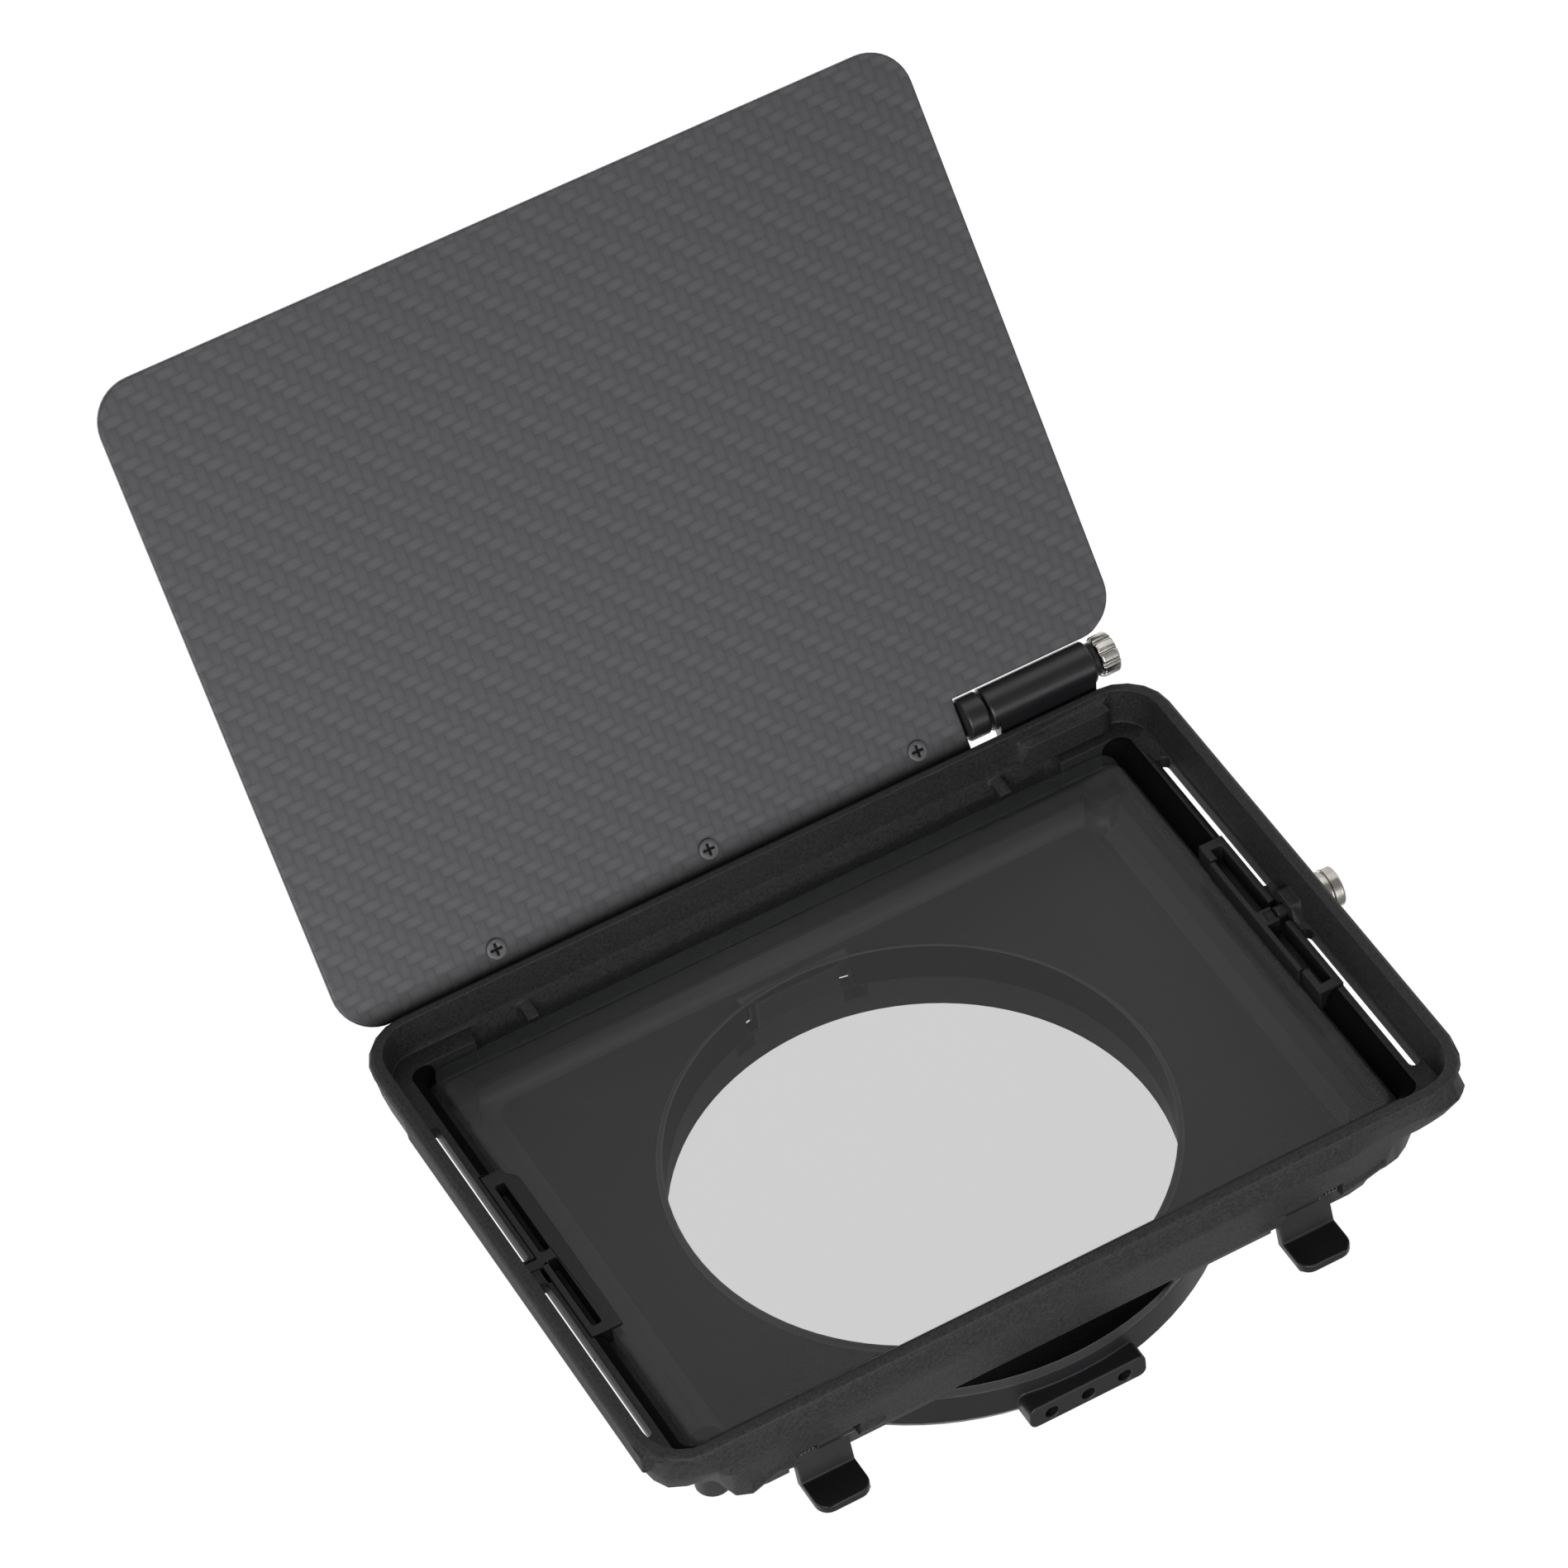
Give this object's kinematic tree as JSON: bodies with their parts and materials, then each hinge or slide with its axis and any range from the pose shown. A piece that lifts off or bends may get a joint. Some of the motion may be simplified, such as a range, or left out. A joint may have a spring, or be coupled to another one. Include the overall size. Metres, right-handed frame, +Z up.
{
  "type": "matte box",
  "caption": "Clip-on camera matte box: shallow hood with a clamped rectangular filter, folding carbon top flag, eject levers and a round lens clamp ring.",
  "frame": {"origin": "on the optical axis, in the plane of the clamp ring's rear face", "axes": "+Y back along the optical axis towards the lens, -Y out of the hood's mouth, +X to the right seen from the front, +Z up to the flag"},
  "size_m": [0.1727, 0.1414, 0.1991],
  "materials": {
    "black_nylon": "fine moulded texture, matte",
    "black_polymer": "smooth matte",
    "carbon_sheet": "woven twill carbon laminate, matte",
    "black_anodised": "black anodised, fine blasted",
    "black_steel": "black oxide",
    "silver_metal": "turned",
    "spring_steel": "drawn wire",
    "filter_glass": "clear polished diffusion filter"
  },
  "bodies": {
    "hood": {"hood_frame": "black_nylon", "rear_stage": "black_nylon", "aperture_latch": "black_polymer", "lens_clamp_ring": "black_anodised", "ring_clamp_screw": "black_steel", "stage_screw_1": "black_steel", "stage_screw_2": "black_steel", "stage_screw_3": "black_steel", "stage_screw_4": "black_steel", "filter_left_clip": "black_polymer", "pad_bracket": "black_polymer", "flag_hinge_barrel": "black_anodised", "hinge_foot_screw_1": "black_steel", "hinge_foot_screw_2": "black_steel", "lever_pin_right": "black_steel", "lever_pin_left": "black_steel", "lever_spring_right": "spring_steel", "lever_spring_left": "spring_steel"},
    "clamp_pad": {"filter_clamp_pad": "black_polymer"},
    "thumbscrew": {"clamp_thumbscrew": "silver_metal"},
    "filter": {"filter_glass": "filter_glass"},
    "right_lever": {"eject_lever_right": "black_polymer"},
    "left_lever": {"eject_lever_left": "black_polymer"},
    "flag": {"flag_panel": "carbon_sheet", "flag_hinge_leaf": "black_anodised", "flag_screw_1": "black_steel", "flag_screw_2": "black_steel", "flag_screw_3": "black_steel", "hinge_shaft": "black_steel", "hinge_washer": "black_polymer"},
    "flag_tension_knob": {"tension_knob": "silver_metal"}
  },
  "joints": [
    {"name": "flag_fold", "type": "hinge", "parent": "hood", "child": "flag", "pos_m": [0.0635, -0.04405, 0.0636], "axis": [-1, 0, 0], "range_deg": [-127, 5]},
    {"name": "tension_knob_turn", "type": "hinge", "parent": "flag", "child": "flag_tension_knob", "pos_m": [0.0782, -0.04405, 0.0636], "axis": [1, 0, 0], "range_deg": [0, 90]},
    {"name": "clamp_pad_slide", "type": "slide", "parent": "hood", "child": "clamp_pad", "axis": [1, 0, 0], "range_m": [0, 0.0016]},
    {"name": "thumbscrew_turn", "type": "hinge", "parent": "clamp_pad", "child": "thumbscrew", "pos_m": [0.0865, -0.0334, -0.0009], "axis": [1, 0, 0], "range_deg": [0, 720]},
    {"name": "filter_swing", "type": "hinge", "parent": "hood", "child": "filter", "pos_m": [-0.07175, -0.0313, 0.0017], "axis": [0, 0, -1], "range_deg": [0, 20]},
    {"name": "right_lever_lift", "type": "hinge", "parent": "hood", "child": "right_lever", "pos_m": [0.0496, -0.0239, -0.0534], "axis": [1, 0, 0], "range_deg": [0, 8], "stiffness_Nm_per_rad": 0.01, "springref_deg": -8.59},
    {"name": "left_lever_lift", "type": "hinge", "parent": "hood", "child": "left_lever", "pos_m": [-0.0496, -0.0239, -0.0534], "axis": [1, 0, 0], "range_deg": [0, 8], "stiffness_Nm_per_rad": 0.01, "springref_deg": -8.59}
  ],
  "couplings": [
    {"joint": "thumbscrew_turn", "follows": "clamp_pad_slide", "rad_per_m": 7853.5}
  ]
}
